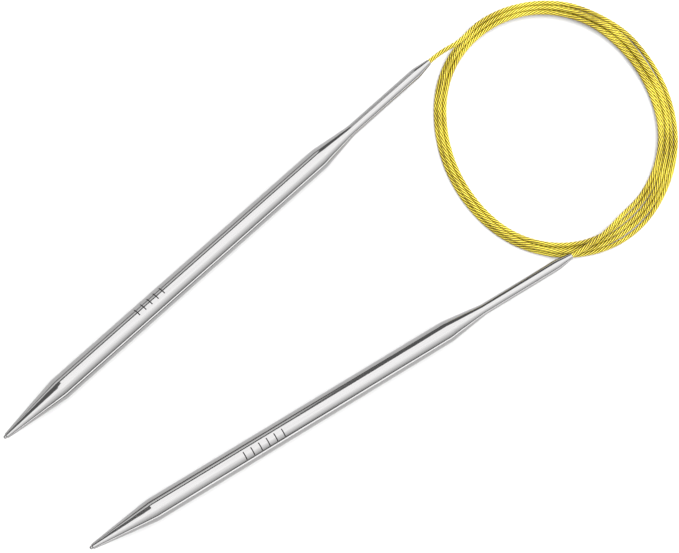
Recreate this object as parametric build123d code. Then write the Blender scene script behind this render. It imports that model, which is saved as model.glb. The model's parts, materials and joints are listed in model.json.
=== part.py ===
"""Fixed circular knitting needle: two hollow steel needles joined by one coiled, coated wire rope.

The two needles lie side by side on the surface z = 0 and their necks point along +X, a little apart.
The origin is under the middle of the pair of needles, and the rope's ring lies beyond the necks.
"""
from build123d import *
import os
from math import cos, radians, sin, tan

os.makedirs("parts", exist_ok=True)

# ---- Driving dimensions, in millimetres and degrees ----

# Needle: distances are along its axis, from its point to the mouth that the rope leaves.
body_radius = 3.0
neck_radius = 1.5
mouth_radius = 0.8
cone_end_radius = 0.7
nib_radius = 0.5
cone_start = 0.8
body_start = 18.0
body_end = 108.5
neck_start = 120.3
taper_start = 145.2
needle_length = 150.0
bend_radius = 10.0
taper_bend_radius = 8.0

# The tube's bore
bore_radius = 2.2
plug_radius = 0.3
plug_hole_end = 4.0
bore_start = 19.5
bore_end = 107.5
neck_bore_start = 119.6
neck_bore_end = 145.0
mouth_bore_start = 146.4
neck_bore_radius = 0.95
mouth_bore_radius = 0.64

# How the needles lie
half_angle = 5.83
point_offset = 16.78
stagger = 0.55

# Engraved size marks: plain strokes across the body
stroke_width = 0.3
stroke_length = 2.2
stroke_depth = 0.04
upper_strokes = {"count": 5, "first": 44.6, "pitch": 2.1, "turn": -32.0}
lower_strokes = {"count": 6, "first": 44.2, "pitch": 2.3, "turn": 4.0}

# Wire rope: one core strand, six strands laid left-handed round it, and a clear yellow coat
rope_radius = 0.625
rope_lay = 8.3
strand_count = 6
strand_radius = 0.178
strand_circle = 0.39
core_radius = 0.2
bare_rope_radius = 0.585
rope_end = 121.0
end_gap = 0.1

# Crimp sleeve that holds the rope in the neck
sleeve_start = 122.0
sleeve_end = 142.6
sleeve_radius = 0.94
coat_start = 143.2

# Where the rope bends beside each mouth: the gap between its two stretches leaves room for the swing
hinge_gap = 0.7

# The rope's route from each mouth to its ring
arc_share = 0.45
upper_route = [
    (77.00, 32.32, 3.00),
    (80.40, 32.22, 3.00),
    (84.30, 31.80, 2.95),
    (88.30, 32.25, 2.30),
    (92.00, 32.90, 1.50),
]
lower_route = [
    (78.60, -32.37, 3.00),
    (82.30, -32.62, 3.00),
    (86.60, -32.68, 2.50),
    (90.80, -32.35, 1.80),
    (94.60, -31.80, 1.20),
]
upper_hinge = 80.40
lower_hinge = 80.60

# The ring of rope: outer and inner radius of the bundle of turns, every 30 degrees from +X
ring_x = 94.00
ring_y = -1.75
ring_height = 2.2
ring_edge = 0.6
ring_outline = [
    (36.90, 30.60),
    (36.50, 31.20),
    (35.30, 31.40),
    (35.20, 31.40),
    (34.85, 31.65),
    (34.15, 30.95),
    (34.30, 31.10),
    (35.15, 31.95),
    (35.50, 31.60),
    (36.45, 29.55),
    (36.50, 30.40),
    (36.60, 31.00),
]


# ---- Pieces of one needle, along +X with the point at the origin ----


def turned(points):
    """The solid that the closed outline of (along, radius) points makes when it is turned round the X axis."""
    return revolve(make_face(Polyline(*points, close=True)), axis=Axis.X)


def needle_blank():
    """The outside of the needle: cone, body, shoulder, neck and last taper."""
    outline = [
        (cone_start, cone_end_radius),
        (body_start, body_radius),
        (body_end, body_radius),
        (neck_start, neck_radius),
        (taper_start, neck_radius),
        (needle_length, mouth_radius),
    ]
    radii = [bend_radius, bend_radius, bend_radius, taper_bend_radius]
    edge = FilletPolyline(*outline, radius=radii)
    closing = Polyline(
        outline[-1],
        (needle_length, 0),
        (cone_start, 0),
        outline[0],
    )
    return revolve(make_face([edge, closing]), axis=Axis.X)


def needle_bore():
    """What is hollow in the needle: plug hole, bore, neck and mouth."""
    return turned(
        [
            (cone_start, 0),
            (cone_start, plug_radius),
            (plug_hole_end, plug_radius),
            (bore_start, bore_radius),
            (bore_end, bore_radius),
            (neck_bore_start, neck_bore_radius),
            (neck_bore_end, neck_bore_radius),
            (mouth_bore_start, mouth_bore_radius),
            (needle_length, mouth_bore_radius),
            (needle_length, 0),
        ]
    )


def size_strokes(marks):
    """Shallow cuts that follow the body's round surface, in a row along its upper side."""
    skin = Plane.YZ * Circle(body_radius + stroke_depth) - Plane.YZ * Circle(body_radius - stroke_depth)
    cutter = extrude(skin, amount=stroke_width / 2, both=True)
    cutter = cutter & Pos(0, 0, body_radius) * Box(stroke_width, stroke_length, body_radius)
    return [
        Pos(marks["first"] + number * marks["pitch"], 0, 0) * Rot(marks["turn"], 0, 0) * cutter
        for number in range(marks["count"])
    ]


def needle_tube(marks):
    tube = needle_blank() - needle_bore()
    for stroke in size_strokes(marks):
        tube = tube - stroke
    return tube


def point_plug():
    """The small round nib that closes the point, on a pin in the plug hole."""
    ball = Pos(nib_radius, 0, 0) * Sphere(nib_radius)
    pin = Plane.YZ * Circle(plug_radius)
    return (ball - Pos(cone_start, 0, 0) * extrude(Plane.YZ * Circle(body_radius), amount=body_radius)) + (
        Pos(nib_radius, 0, 0) * extrude(pin, amount=plug_hole_end - nib_radius)
    )


def ring_of_tube(start, end, outer, inner):
    """A plain sleeve round the X axis."""
    return turned([(start, inner), (start, outer), (end, outer), (end, inner)])


def crimp_sleeve():
    return ring_of_tube(sleeve_start, sleeve_end, sleeve_radius, bare_rope_radius)


def coat_end():
    """The end of the rope's coat, pushed into the mouth."""
    return ring_of_tube(coat_start, needle_length, rope_radius, bare_rope_radius)


def core_strand():
    length = needle_length - end_gap - rope_end
    return Pos(rope_end, 0, 0) * extrude(Plane.YZ * Circle(core_radius), amount=length)


def outer_strand(number):
    """One of the six strands that wind round the core in the neck."""
    length = needle_length - end_gap - rope_end
    line = Helix(pitch=rope_lay, height=length, radius=strand_circle, lefthand=True)
    section = Plane(origin=line @ 0, z_dir=line % 0) * Circle(strand_radius)
    strand = sweep(section, path=line, is_frenet=True)
    strand = Rot(0, 0, 360 * number / strand_count) * strand
    return Pos(rope_end, 0, 0) * Rot(0, 90, 0) * strand


# ---- Rope outside the needles ----


def point_place(side):
    """Where a needle's point is: side is 1 for the upper needle and -1 for the lower one."""
    reach = needle_length * cos(radians(half_angle)) / 2
    return Vector(-reach - side * stagger, side * point_offset, body_radius)


def needle_direction(side):
    return Vector(cos(radians(half_angle)), side * sin(radians(half_angle)), 0)


def needle_location(side):
    return Location(tuple(point_place(side)), (0, 0, side * half_angle))


def mouth_place(side):
    return point_place(side) + needle_direction(side) * needle_length


def corner_radii(points):
    """As large an arc at each corner as its two runs leave room for."""
    radii = []
    for before, corner, after in zip(points, points[1:], points[2:]):
        first = corner - before
        second = after - corner
        half_turn = first.get_angle(second) / 2
        radii.append(arc_share * min(first.length, second.length) / tan(radians(half_turn)))
    return radii


def rope_tube(name, side, route):
    """The rope from a mouth to its ring, as straight runs joined by arcs."""
    points = [mouth_place(side)] + [Vector(*point) for point in route]
    radii = corner_radii(points)
    line = FilletPolyline(*points, radius=radii)
    section = Plane(origin=line @ 0, z_dir=line % 0) * Circle(rope_radius)
    tube = sweep(section, path=line)
    expected = section.area * line.length
    print(f"{name} rope: {line.length:.1f} mm, radii {[round(radius, 1) for radius in radii]} mm,")
    print(f"  volume {tube.volume:.2f} mm3 against {expected:.2f} mm3")
    return tube


def cut_at_hinge(tube, hinge_x):
    """The stretch that stays with the needle and the stretch that stays with the ring."""
    slab = Pos(hinge_x, 0, 0) * Box(hinge_gap, 200, 40)
    stretches = (tube - slab).solids().sort_by(Axis.X)
    return stretches[0], stretches[-1]


def rope_ring():
    """The outer shape of the coiled turns."""
    step = 360 / len(ring_outline)
    loops = []
    for which in (0, 1):
        points = [
            (
                ring_x + radii[which] * cos(radians(step * number)),
                ring_y + radii[which] * sin(radians(step * number)),
            )
            for number, radii in enumerate(ring_outline)
        ]
        loops.append(make_face(Spline(*points, periodic=True)))
    band = extrude(loops[0] - loops[1], amount=ring_height)
    return fillet(band.edges().group_by(Axis.Z)[-1] + band.edges().group_by(Axis.Z)[0], ring_edge)


# ---- Build and write every piece ----


def needle_pieces(name, side, marks):
    pieces = {
        f"{name}_needle_tube": needle_tube(marks),
        f"{name}_point_plug": point_plug(),
        f"{name}_crimp_sleeve": crimp_sleeve(),
        f"{name}_coat_end": coat_end(),
        f"{name}_core_strand": core_strand(),
    }
    for number in range(strand_count):
        pieces[f"{name}_outer_strand_{number + 1}"] = outer_strand(number)
    return {node: needle_location(side) * piece for node, piece in pieces.items()}


def rope_pieces():
    upper_exit, upper_tail = cut_at_hinge(rope_tube("upper", 1, upper_route), upper_hinge)
    lower_exit, lower_tail = cut_at_hinge(rope_tube("lower", -1, lower_route), lower_hinge)
    return {
        "upper_rope_exit": upper_exit,
        "upper_rope_tail": upper_tail,
        "lower_rope_exit": lower_exit,
        "lower_rope_tail": lower_tail,
        "rope_ring": rope_ring(),
    }


pieces = needle_pieces("upper", 1, upper_strokes)
pieces.update(needle_pieces("lower", -1, lower_strokes))
pieces.update(rope_pieces())
for node, piece in pieces.items():
    export_step(piece, f"parts/{node}.step")
print(len(pieces), "pieces")
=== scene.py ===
"""Looks, floor, light and camera for a circular knitting needle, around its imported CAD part.

Lengths are in metres and angles in degrees. The frame is the CAD part's: the two needles lie on z = 0 with
their necks towards +X, and the rope lies in a ring beyond the necks.
"""

import json
import math

import bpy
import numpy as np
from mathutils import Matrix, Vector

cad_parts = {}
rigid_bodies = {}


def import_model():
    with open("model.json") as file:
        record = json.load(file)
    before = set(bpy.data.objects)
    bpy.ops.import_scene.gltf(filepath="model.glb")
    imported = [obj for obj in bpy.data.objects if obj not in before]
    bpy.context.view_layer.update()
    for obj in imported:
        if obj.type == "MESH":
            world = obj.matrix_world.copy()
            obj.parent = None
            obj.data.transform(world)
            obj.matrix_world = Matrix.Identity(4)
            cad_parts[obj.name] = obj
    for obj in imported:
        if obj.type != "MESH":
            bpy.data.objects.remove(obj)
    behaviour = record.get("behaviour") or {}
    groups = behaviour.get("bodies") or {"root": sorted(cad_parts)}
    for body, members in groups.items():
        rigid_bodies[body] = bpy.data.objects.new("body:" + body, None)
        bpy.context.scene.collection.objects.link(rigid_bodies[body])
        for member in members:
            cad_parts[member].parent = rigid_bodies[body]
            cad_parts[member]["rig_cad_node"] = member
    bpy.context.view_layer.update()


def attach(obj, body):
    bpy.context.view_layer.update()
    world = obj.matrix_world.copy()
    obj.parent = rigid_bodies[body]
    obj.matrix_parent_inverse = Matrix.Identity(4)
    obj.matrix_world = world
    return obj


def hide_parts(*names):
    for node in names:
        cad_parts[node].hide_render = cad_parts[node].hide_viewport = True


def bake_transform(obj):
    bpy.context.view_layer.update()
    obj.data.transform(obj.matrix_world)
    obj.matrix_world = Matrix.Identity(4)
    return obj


MM = 0.001

# ---- Camera ----
CAMERA_PLACE = (-0.15575, 0.01856, 0.48438)
CAMERA_TARGET = (0.019585, 0.000166, 0.0)
CAMERA_ROLL = -60
SENSOR_WIDTH_MM = 36.0
LENS_MM = 106.04

# ---- Needles, as in the CAD part ----
HALF_ANGLE = 5.83
POINTS = {"upper": (-0.07516, 0.01678, 0.003), "lower": (-0.07406, -0.01678, 0.003)}
SIDES = {"upper": 1, "lower": -1}
# Engraved strokes: their number, the first one's place and their pitch along the needle in mm, and their
# turn round it
STROKES = {"upper": (5, 44.6, 2.1, -32.0), "lower": (6, 44.2, 2.3, 4.0)}
STROKE_WIDTH_MM = 0.3
STROKE_LENGTH_MM = 2.2

# ---- Rope ----
ROPE_DIAMETER = 0.00125
ROPE_LAY = 0.0083
STRANDS = 6
STRAND_PROFILE = (0.455, 0.495, 0.568, 0.611, 0.625, 0.611, 0.568, 0.495)
UPPER_TAIL_LENGTH = 0.032
LOWER_TAIL_LENGTH = 0.032
COIL_LENGTH = 0.925
LINE_RESOLUTION = 12

# The route from each mouth to the coil
UPPER_ROUTE = [
    (0.07406, 0.03202, 0.00300),
    (0.07700, 0.03232, 0.00300),
    (0.08040, 0.03222, 0.00300),
    (0.08430, 0.03180, 0.00300),
    (0.08830, 0.03225, 0.00245),
    (0.09200, 0.03290, 0.00175),
]
LOWER_ROUTE = [
    (0.07516, -0.03202, 0.00300),
    (0.07860, -0.03237, 0.00300),
    (0.08230, -0.03262, 0.00300),
    (0.08660, -0.03268, 0.00260),
    (0.09080, -0.03235, 0.00205),
    (0.09460, -0.03180, 0.00175),
]

# The coil winds clockwise and inwards from COIL_ZERO. Angles are round its centre, from +X. Its own control
# points run from COIL_START to COIL_END, as angles wound so far, and the two routes lead on from them.
COIL_CENTRE = (0.09420, -0.00177)
COIL_ZERO = 108
COIL_START = 23
COIL_END = 1623
COIL_STEP = 10
COIL_TURNS = 4.636
LAST_TURN = 4
# The angle wound before the rope first changes layer, which it then does once a turn
LAYER_CHANGE = 193
# The radius COIL_MIDDLE_TURN turns along the rope, and the spacing of turns, every 30 degrees from +X
COIL_MIDDLE_TURN = 2.5
COIL_RADIUS_MM = (33.5, 33.55, 33.1, 33.0, 33.2, 32.5, 32.6, 33.35, 33.3, 33.05, 33.4, 33.65)
TURN_SPACING_MM = (1.25, 0.98, 0.65, 0.65, 0.65, 0.65, 0.65, 0.65, 0.95, 1.4, 1.25, 1.15)
# Where two turns lie apart: outer turn's number, angle, half width and gap in mm
COIL_GAPS = [
    (0, 31, 13, 0.90),
    (0, 0, 16, 0.90),
    (1, -42, 20, 0.80),
    (0, -85, 20, 0.30),
    (2, -78, 20, 0.25),
]

# ---- Finishes: the colours from one end of a pattern to the other, and the sizes of the pattern in mm ----
BLACK = (0.0, 0.0, 0.0)
STEEL_COLOUR = (0.2725, 0.27, 0.27)
STEEL_STREAK = (25, 0.12, 0.12)
ENGRAVED_SHADE = 0.12
# The rope's colours run from its strands' crowns to painted shade, near black, deep in the grooves and low
# on the flanks
ROPE_COLOURS = [
    (0.0, (0.88, 0.77, 0.09)),
    (0.25, (0.56, 0.44, 0.012)),
    (0.5, (0.16, 0.08, 0.0)),
    (0.9, (0.015, 0.005, 0.0)),
]
WIRES_ACROSS = 5
WIRE_LAY_MM = 3.1
WIRE_CONTRAST = 0.07
# How much painted shade darkens the rope towards its underside, where less light falls
FLANK_PAINTED_SHADE = 0.2
COAT_COLOURS = [(0.3, (0.60, 0.42, 0.01)), (0.7, (0.85, 0.68, 0.04))]
BRASS_COLOURS = [(0.3, (0.42, 0.27, 0.08)), (0.7, (0.68, 0.48, 0.18))]
WIRE_COLOURS = [(0.35, (0.16, 0.15, 0.14)), (0.65, (0.55, 0.54, 0.52))]
WIRE_STREAK = (4, 0.06, 0.06)

# ---- Studio: soft panels round the object, far enough away to look the same from everywhere on it ----
STUDIO_SCALE = 20.0
WORLD_LIGHT = 0.3
FLOOR_REACH = 3.0
FLOOR_COLOUR = (0.7, 0.7, 0.7, 1)
# Each panel has its corners, in studio units, and the brightness at each. The gaps between panels show as
# dark lines in the steel.
PANELS = {
    "overhead": (
        [(0.08, -0.1, 1.0), (2.4, -0.1, 1.0), (2.4, 1.22, 1.0), (0.08, 1.22, 1.0)],
        (3.2, 3.2, 3.2, 3.2),
    ),
    "overhead_end": (
        [(-0.9, -0.1, 1.0), (0.08, -0.1, 1.0), (0.08, 0.7, 1.0), (-0.1, 0.29, 1.0), (-0.9, 0.29, 1.0)],
        (3.2, 3.2, 3.2, 3.2, 3.2),
    ),
    "slope": (
        [(-0.9, -0.93, 0.47), (2.4, -0.93, 0.47), (2.4, -0.1, 1.0), (-0.9, -0.1, 1.0)],
        (0.8, 0.8, 3.2, 3.2),
    ),
    "near_wall": (
        [(-1.2, -1.0, 0.04), (1.6, -1.0, 0.04), (1.6, -1.0, 0.30), (-1.2, -1.0, 0.30)],
        (3.4, 3.4, 3.4, 3.4),
    ),
    "left_wall": (
        [(-2.6, -1.0, 0.0), (-2.6, 1.0, 0.0), (-2.6, 1.0, 1.0), (-2.6, -1.0, 1.0)],
        (0.5, 0.5, 1.0, 1.0),
    ),
    "right_wall": (
        [(3.6, -1.0, 0.0), (3.6, 1.0, 0.0), (3.6, 1.0, 1.0), (3.6, -1.0, 1.0)],
        (0.5, 0.5, 1.0, 1.0),
    ),
    "far_wall": (
        [(-1.2, 1.0, 0.12), (0.45, 1.0, 0.12), (0.45, 1.0, 0.50), (-1.2, 1.0, 0.50)],
        (0.7, 0.7, 2.6, 2.6),
    ),
}
FILL_PLACE = (-0.4, 0.8, 0.7)
FILL_SIZE = 1.2
FILL_RADIANCE = 2.0


# ---- Camera ----


def make_camera():
    camera = bpy.data.objects.new("camera", bpy.data.cameras.new("camera"))
    bpy.context.scene.collection.objects.link(camera)
    camera.data.sensor_width = SENSOR_WIDTH_MM
    camera.data.lens = LENS_MM
    camera.data.clip_start = 0.01
    camera.data.clip_end = 10.0
    forward = (Vector(CAMERA_TARGET) - Vector(CAMERA_PLACE)).normalized()
    level_right = forward.cross(Vector((0, 0, 1))).normalized()
    level_up = level_right.cross(forward)
    roll = Matrix.Rotation(math.radians(CAMERA_ROLL), 3, forward)
    right = roll @ level_right
    up = roll @ level_up
    axes = Matrix((right, up, -forward)).transposed().to_4x4()
    camera.matrix_world = Matrix.Translation(CAMERA_PLACE) @ axes
    bpy.context.scene.camera = camera


# ---- The rope's line ----


def around(values, angle):
    """A smooth closed run through values that are evenly spaced round the coil."""
    place = (angle % 360) * len(values) / 360
    first = int(place)
    share = place - first
    a, b, c, d = (values[(first + k) % len(values)] for k in (-1, 0, 1, 2))
    return b + 0.5 * share * (
        c - a + share * (2 * a - 5 * b + 4 * c - d + share * (3 * (b - c) + d - a))
    )


def coil_radius(turned):
    """Distance of the rope's line from the coil's centre, where turned is the angle wound so far."""
    angle = COIL_ZERO - turned
    spacing = around(TURN_SPACING_MM, angle)
    radius = around(COIL_RADIUS_MM, angle) + (COIL_MIDDLE_TURN - turned / 360) * spacing
    number = int(turned // 360)
    for outer, centre, half_width, gap in COIL_GAPS:
        away = abs((angle - centre + 180) % 360 - 180) / half_width
        if away < 1:
            opened = gap * 0.5 * (1 + math.cos(math.pi * away))
            radius += opened * (number / LAST_TURN - (number > outer))
    return radius * MM


def coil_height(turned):
    """Height of the rope's line: odd layers lie on the floor, and even ones in the grooves between them."""
    floor = ROPE_DIAMETER / 2
    layer = math.floor((turned - LAYER_CHANGE) / 360) + 1
    if layer % 2 == 1:
        return floor
    neighbours = [t for t in (turned - 360, turned + 360) if 0 <= t <= COIL_TURNS * 360]
    nearest = min(abs(coil_radius(t) - coil_radius(turned)) for t in neighbours)
    return floor + math.sqrt(max(0, ROPE_DIAMETER**2 - nearest**2))


def coil_points():
    """Control points of the coil, a little further out than the line that they pull inwards."""
    outwards = 1 / math.cos(math.radians(COIL_STEP / 2))
    points = []
    for turned in range(COIL_START, COIL_END + 1, COIL_STEP):
        angle = math.radians(COIL_ZERO - turned)
        radius = coil_radius(turned) * outwards
        x = COIL_CENTRE[0] + radius * math.cos(angle)
        y = COIL_CENTRE[1] + radius * math.sin(angle)
        points.append((x, y, coil_height(turned)))
    return points


def rope_line():
    """Points along the rope's smooth line, from the upper needle's mouth to the lower one's."""
    route = UPPER_ROUTE + coil_points() + LOWER_ROUTE[::-1]
    curve = bpy.data.curves.new("rope_line", "CURVE")
    curve.dimensions = "3D"
    spline = curve.splines.new("NURBS")
    spline.points.add(len(route) - 1)
    for point, place in zip(spline.points, route):
        point.co = (*place, 1)
    spline.order_u = 3
    spline.use_endpoint_u = True
    spline.resolution_u = LINE_RESOLUTION
    holder = bpy.data.objects.new("rope_line", curve)
    mesh = bpy.data.meshes.new_from_object(holder)
    line = np.array([vertex.co for vertex in mesh.vertices])
    bpy.data.objects.remove(holder)
    bpy.data.curves.remove(curve)
    bpy.data.meshes.remove(mesh)
    return line


# ---- The rope's surface ----


def along_line(line):
    """Distance along the line at each of its points."""
    steps = np.linalg.norm(np.diff(line, axis=0), axis=1)
    return np.concatenate([[0], np.cumsum(steps)])


def rope_rings(line):
    """The rope's twisted, six-lobed outline at each point of its line, as an array of ring, place, xyz."""
    tangent = np.gradient(line, axis=0)
    tangent /= np.linalg.norm(tangent, axis=1)[:, None]
    side = np.cross((0, 0, 1), tangent)
    side /= np.linalg.norm(side, axis=1)[:, None]
    top = np.cross(tangent, side)
    reach = np.tile(STRAND_PROFILE, STRANDS) * MM
    start = np.arange(len(reach)) * 2 * math.pi / len(reach)
    turned = start[None, :] - 2 * math.pi * along_line(line)[:, None] / ROPE_LAY
    outwards = (
        np.cos(turned)[..., None] * side[:, None, :] + np.sin(turned)[..., None] * top[:, None, :]
    )
    return line[:, None, :] + reach[None, :, None] * outwards


def store(mesh, name, values):
    """Keeps a number at each of the mesh's points, for its material to read."""
    kept = mesh.attributes.new(name, "FLOAT", "POINT")
    kept.data.foreach_set("value", np.asarray(values, dtype=np.float32).ravel())


def rope_piece(name, rings, along, first, last):
    """One mesh from the rings of a stretch of the rope, with the places that its material reads."""
    count = rings.shape[1]
    number = last - first
    corners = np.arange(number * count).reshape(number, count)
    here, beside = corners[:-1], np.roll(corners, -1, axis=1)[:-1]
    ahead, ahead_beside = corners[1:], np.roll(corners, -1, axis=1)[1:]
    quads = np.stack([here, beside, ahead_beside, ahead], axis=-1).reshape(-1, 4)
    mesh = bpy.data.meshes.new(name)
    mesh.from_pydata(rings[first:last].reshape(-1, 3).tolist(), [], quads.tolist())
    mesh.polygons.foreach_set("use_smooth", [True] * len(quads))
    depth = 1 - (np.array(STRAND_PROFILE) - min(STRAND_PROFILE)) / np.ptp(STRAND_PROFILE)
    across = np.arange(len(STRAND_PROFILE)) / len(STRAND_PROFILE)
    heights = rings[first:last, :, 2] - rings[first:last, :, 2].mean(axis=1)[:, None]
    store(mesh, "groove", np.tile(depth, number * STRANDS))
    store(mesh, "across", np.tile(across, number * STRANDS))
    store(mesh, "height", heights / (ROPE_DIAMETER / 2))
    store(mesh, "run", np.repeat(along[first:last] / MM, count))
    piece = bpy.data.objects.new(name, mesh)
    bpy.context.scene.collection.objects.link(piece)
    return piece


def make_rope(material):
    """The whole rope as two tails and the coil between them. Their strands run on from one to the next."""
    line = rope_line()
    along = along_line(line)
    rings = rope_rings(line)
    upper_end = int(np.searchsorted(along, UPPER_TAIL_LENGTH))
    lower_start = int(np.searchsorted(along, along[-1] - LOWER_TAIL_LENGTH))
    stretches = {
        "upper_rope": (0, upper_end + 1, UPPER_TAIL_LENGTH),
        "rope_coil": (upper_end, lower_start + 1, COIL_LENGTH),
        "lower_rope": (lower_start, len(line), LOWER_TAIL_LENGTH),
    }
    pieces = {}
    for name, (first, last, length) in stretches.items():
        piece = rope_piece(name, rings, along, first, last)
        piece.data.materials.append(material)
        pieces[name] = piece
    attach(pieces["rope_coil"], "rope")
    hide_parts("rope_ring")
    for side, route in (("upper", UPPER_ROUTE), ("lower", LOWER_ROUTE)):
        tail = pieces[f"{side}_rope"]
        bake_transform(tail)
        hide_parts(f"{side}_rope_tail", f"{side}_rope_exit")


# ---- Materials ----


def new_material(name):
    material = bpy.data.materials.new(name)
    material.use_nodes = True
    return material, material.node_tree, material.node_tree.nodes["Principled BSDF"]


def set_inputs(tree, node, values):
    """Sets each input to a number or a colour, or links it to another node's output."""
    for socket, value in values.items():
        if isinstance(value, bpy.types.NodeSocket):
            tree.links.new(value, node.inputs[socket])
        else:
            node.inputs[socket].default_value = value


def maths(tree, operation, *values):
    node = tree.nodes.new("ShaderNodeMath")
    node.operation = operation
    set_inputs(tree, node, dict(enumerate(values)))
    return node.outputs[0]


def attribute(tree, name):
    node = tree.nodes.new("ShaderNodeAttribute")
    node.attribute_name = name
    return node.outputs["Fac"]


def place_on_object(tree):
    """The place in metres, which stays with the object when it moves."""
    return tree.nodes.new("ShaderNodeTexCoord").outputs["Object"]


def noise(tree, place, scale, detail=2.0):
    node = tree.nodes.new("ShaderNodeTexNoise")
    set_inputs(tree, node, {"Vector": place, "Scale": scale, "Detail": detail})
    return node.outputs["Fac"]


def in_range(tree, value, low, high):
    """Spreads a value that runs from 0 to 1 over another range."""
    node = tree.nodes.new("ShaderNodeMapRange")
    set_inputs(tree, node, {"Value": value, "To Min": low, "To Max": high})
    return node.outputs[0]


def ramp(tree, value, stops):
    """A colour that runs through the stops, each a position and a colour."""
    node = tree.nodes.new("ShaderNodeValToRGB")
    elements = node.color_ramp.elements
    while len(elements) < len(stops):
        elements.new(0.5)
    for element, (position, colour) in zip(elements, stops):
        element.position = position
        element.color = (*colour, 1)
    tree.links.new(value, node.inputs["Fac"])
    return node.outputs["Color"]


def bump(tree, height, distance):
    node = tree.nodes.new("ShaderNodeBump")
    set_inputs(tree, node, {"Height": height, "Distance": distance})
    return node.outputs["Normal"]


def placed(tree, place, location=(0, 0, 0), rotation=(0, 0, 0), scale=(1, 1, 1)):
    """The place as seen from a frame with this location, rotation in degrees and scale."""
    node = tree.nodes.new("ShaderNodeMapping")
    node.vector_type = "TEXTURE"
    turned = [math.radians(angle) for angle in rotation]
    set_inputs(tree, node, {"Vector": place, "Location": location, "Rotation": turned, "Scale": scale})
    return node.outputs["Vector"]


def place_on_needle(tree, side):
    """The place in mm, with X along the needle from its point and Z upwards."""
    return placed(tree, place_on_object(tree), POINTS[side], (0, 0, SIDES[side] * HALF_ANGLE), (MM, MM, MM))


def stroke_mask(tree, side):
    """1 on the engraved strokes and 0 elsewhere."""
    count, first, pitch, turn = STROKES[side]
    split = tree.nodes.new("ShaderNodeSeparateXYZ")
    tree.links.new(placed(tree, place_on_needle(tree, side), rotation=(turn, 0, 0)), split.inputs[0])
    x, y, z = split.outputs
    steps = maths(tree, "DIVIDE", maths(tree, "SUBTRACT", x, first), pitch)
    nearest = maths(tree, "MINIMUM", maths(tree, "MAXIMUM", maths(tree, "ROUND", steps), 0), count - 1)
    away = maths(tree, "ABSOLUTE", maths(tree, "SUBTRACT", steps, nearest))
    on_width = maths(tree, "LESS_THAN", away, STROKE_WIDTH_MM / 2 / pitch)
    on_length = maths(tree, "LESS_THAN", maths(tree, "ABSOLUTE", y), STROKE_LENGTH_MM / 2)
    on_top = maths(tree, "GREATER_THAN", z, 0)
    return maths(tree, "MULTIPLY", maths(tree, "MULTIPLY", on_width, on_length), on_top)


def rope_material():
    """Clear yellow coat over twisted strands, with fine wires; painted shade darkens the grooves and the
    low flanks.
    """
    material, tree, shader = new_material("coated_rope")
    wires_along = maths(tree, "DIVIDE", attribute(tree, "run"), WIRE_LAY_MM)
    wires = maths(tree, "MULTIPLY_ADD", attribute(tree, "across"), WIRES_ACROSS, wires_along)
    wire = maths(tree, "SINE", maths(tree, "MULTIPLY", wires, 2 * math.pi))
    patches = noise(tree, place_on_object(tree), 900)
    blotches = noise(tree, place_on_object(tree), 90)
    uneven = maths(tree, "ADD", in_range(tree, patches, -0.15, 0.15), in_range(tree, blotches, -0.3, 0.3))
    # Painted shade: the strands darker low on the rope's flanks and deep in the grooves between them
    flank = maths(tree, "POWER", maths(tree, "SUBTRACT", 1, attribute(tree, "height")), 2)
    painted_shade = maths(tree, "MULTIPLY_ADD", flank, FLANK_PAINTED_SHADE, attribute(tree, "groove"))
    depth = maths(tree, "MULTIPLY_ADD", wire, WIRE_CONTRAST, maths(tree, "ADD", painted_shade, uneven))
    values = {
        "Base Color": ramp(tree, depth, ROPE_COLOURS),
        "Roughness": in_range(tree, patches, 0.22, 0.42),
        "Specular IOR Level": 0.2,
        "Coat Weight": 0.2,
        "Coat Roughness": 0.12,
        "Normal": bump(tree, wire, 0.00001),
    }
    set_inputs(tree, shader, values)
    return material


def coat_material():
    """The same coat where it lies smooth inside the mouth."""
    material, tree, shader = new_material("rope_coat")
    patches = noise(tree, place_on_object(tree), 1500)
    values = {
        "Base Color": ramp(tree, patches, COAT_COLOURS),
        "Roughness": in_range(tree, patches, 0.2, 0.4),
        "Coat Weight": 0.5,
    }
    set_inputs(tree, shader, values)
    return material


def steel_material(side):
    """Polished tube with faint streaks along it, fine grain and dark engraved strokes."""
    material, tree, shader = new_material(f"{side}_polished_steel")
    place = place_on_needle(tree, side)
    streaks = noise(tree, placed(tree, place, scale=STEEL_STREAK), 1.0, 4.0)
    grain = noise(tree, place, 6.0, 3.0)
    stroke = stroke_mask(tree, side)
    engraved = in_range(tree, stroke, 1.0, ENGRAVED_SHADE)
    shade = maths(tree, "MULTIPLY", in_range(tree, streaks, 0.9, 1.1), engraved)
    # Half the shade goes into a ramp up to twice the colour, because a shade may be over 1
    stops = [(0.0, BLACK), (1.0, [2 * part for part in STEEL_COLOUR])]
    rough = maths(tree, "ADD", in_range(tree, streaks, 0.03, 0.10), in_range(tree, grain, 0.0, 0.04))
    values = {
        "Base Color": ramp(tree, maths(tree, "DIVIDE", shade, 2), stops),
        "Metallic": 1.0,
        "Roughness": maths(tree, "MULTIPLY_ADD", stroke, 0.4, rough),
        "Normal": bump(tree, streaks, 0.0000015),
    }
    set_inputs(tree, shader, values)
    return material


def brass_material():
    """Drawn brass with a dull, slightly uneven tarnish."""
    material, tree, shader = new_material("crimp_brass")
    patches = noise(tree, place_on_object(tree), 800, 4.0)
    values = {
        "Base Color": ramp(tree, patches, BRASS_COLOURS),
        "Metallic": 1.0,
        "Roughness": in_range(tree, patches, 0.2, 0.45),
    }
    set_inputs(tree, shader, values)
    return material


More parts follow.
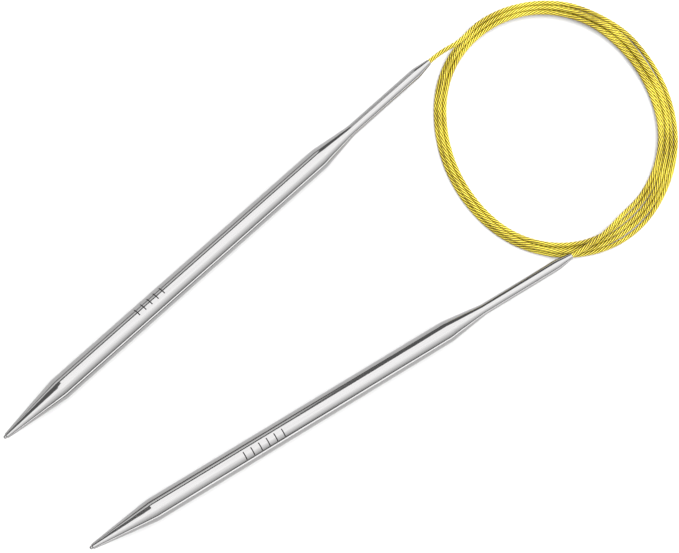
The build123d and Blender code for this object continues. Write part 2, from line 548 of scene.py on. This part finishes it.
def wire_material(side):
    """Bare wire strands: fine wires drawn along the needle."""
    material, tree, shader = new_material(f"{side}_rope_wire")
    wires = noise(tree, placed(tree, place_on_needle(tree, side), scale=WIRE_STREAK), 1.0)
    values = {
        "Base Color": ramp(tree, wires, WIRE_COLOURS),
        "Metallic": 1.0,
        "Roughness": in_range(tree, wires, 0.2, 0.4),
        "Normal": bump(tree, wires, 0.00002),
    }
    set_inputs(tree, shader, values)
    return material


def finish_nodes():
    """Gives each shown CAD node the finish of its kind."""
    brass = brass_material()
    coat = coat_material()
    shown = [o for o in bpy.context.scene.objects if "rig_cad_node" in o and not o.hide_render]
    for side in SIDES:
        steel = steel_material(side)
        wire = wire_material(side)
        finishes = {"tube": steel, "plug": steel, "sleeve": brass, "coat_end": coat, "strand": wire}
        for node in shown:
            for word, finish in finishes.items():
                if node.name.startswith(side) and word in node.name:
                    node.data.materials.clear()
                    node.data.materials.append(finish)


# ---- Floor and light ----


def make_floor():
    mesh = bpy.data.meshes.new("floor")
    corners = [(x * FLOOR_REACH, y * FLOOR_REACH, 0) for x, y in ((-1, -1), (1, -1), (1, 1), (-1, 1))]
    mesh.from_pydata(corners, [], [(0, 1, 2, 3)])
    floor = bpy.data.objects.new("floor", mesh)
    bpy.context.scene.collection.objects.link(floor)
    material, tree, shader = new_material("floor")
    set_inputs(tree, shader, {"Base Color": FLOOR_COLOUR, "Roughness": 0.9})
    mesh.materials.append(material)


def glow_material():
    """Light whose strength is each point's own brightness."""
    material, tree, shader = new_material("glow")
    tree.nodes.remove(shader)
    glow = tree.nodes.new("ShaderNodeEmission")
    set_inputs(tree, glow, {"Strength": attribute(tree, "brightness")})
    set_inputs(tree, tree.nodes["Material Output"], {"Surface": glow.outputs["Emission"]})
    return material


def make_panel(name, corners, brightness, material):
    mesh = bpy.data.meshes.new(name)
    mesh.from_pydata([STUDIO_SCALE * Vector(corner) for corner in corners], [], [range(len(corners))])
    store(mesh, "brightness", brightness)
    mesh.materials.append(material)
    panel = bpy.data.objects.new(name, mesh)
    bpy.context.scene.collection.objects.link(panel)
    panel.visible_camera = False
    panel.visible_shadow = False


def make_fill():
    """A soft lamp that lightens the shadows and shows in no reflection."""
    light = bpy.data.lights.new("fill", "AREA")
    light.size = FILL_SIZE * STUDIO_SCALE
    light.energy = FILL_RADIANCE * math.pi * light.size**2
    lamp = bpy.data.objects.new("fill", light)
    bpy.context.scene.collection.objects.link(lamp)
    place = STUDIO_SCALE * Vector(FILL_PLACE)
    lamp.matrix_world = Matrix.Translation(place) @ place.to_track_quat("Z", "Y").to_matrix().to_4x4()
    lamp.visible_camera = False
    lamp.visible_glossy = False


def make_light():
    world = bpy.data.worlds.new("studio")
    bpy.context.scene.world = world
    world.use_nodes = True
    background = world.node_tree.nodes["Background"]
    background.inputs["Color"].default_value = (1, 1, 1, 1)
    background.inputs["Strength"].default_value = WORLD_LIGHT
    glow = glow_material()
    for name, (corners, brightness) in PANELS.items():
        make_panel(name, corners, brightness, glow)
    make_fill()


# ---- The scene ----

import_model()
bpy.context.scene.view_settings.view_transform = "Standard"
make_camera()
make_rope(rope_material())
finish_nodes()
make_floor()
make_light()
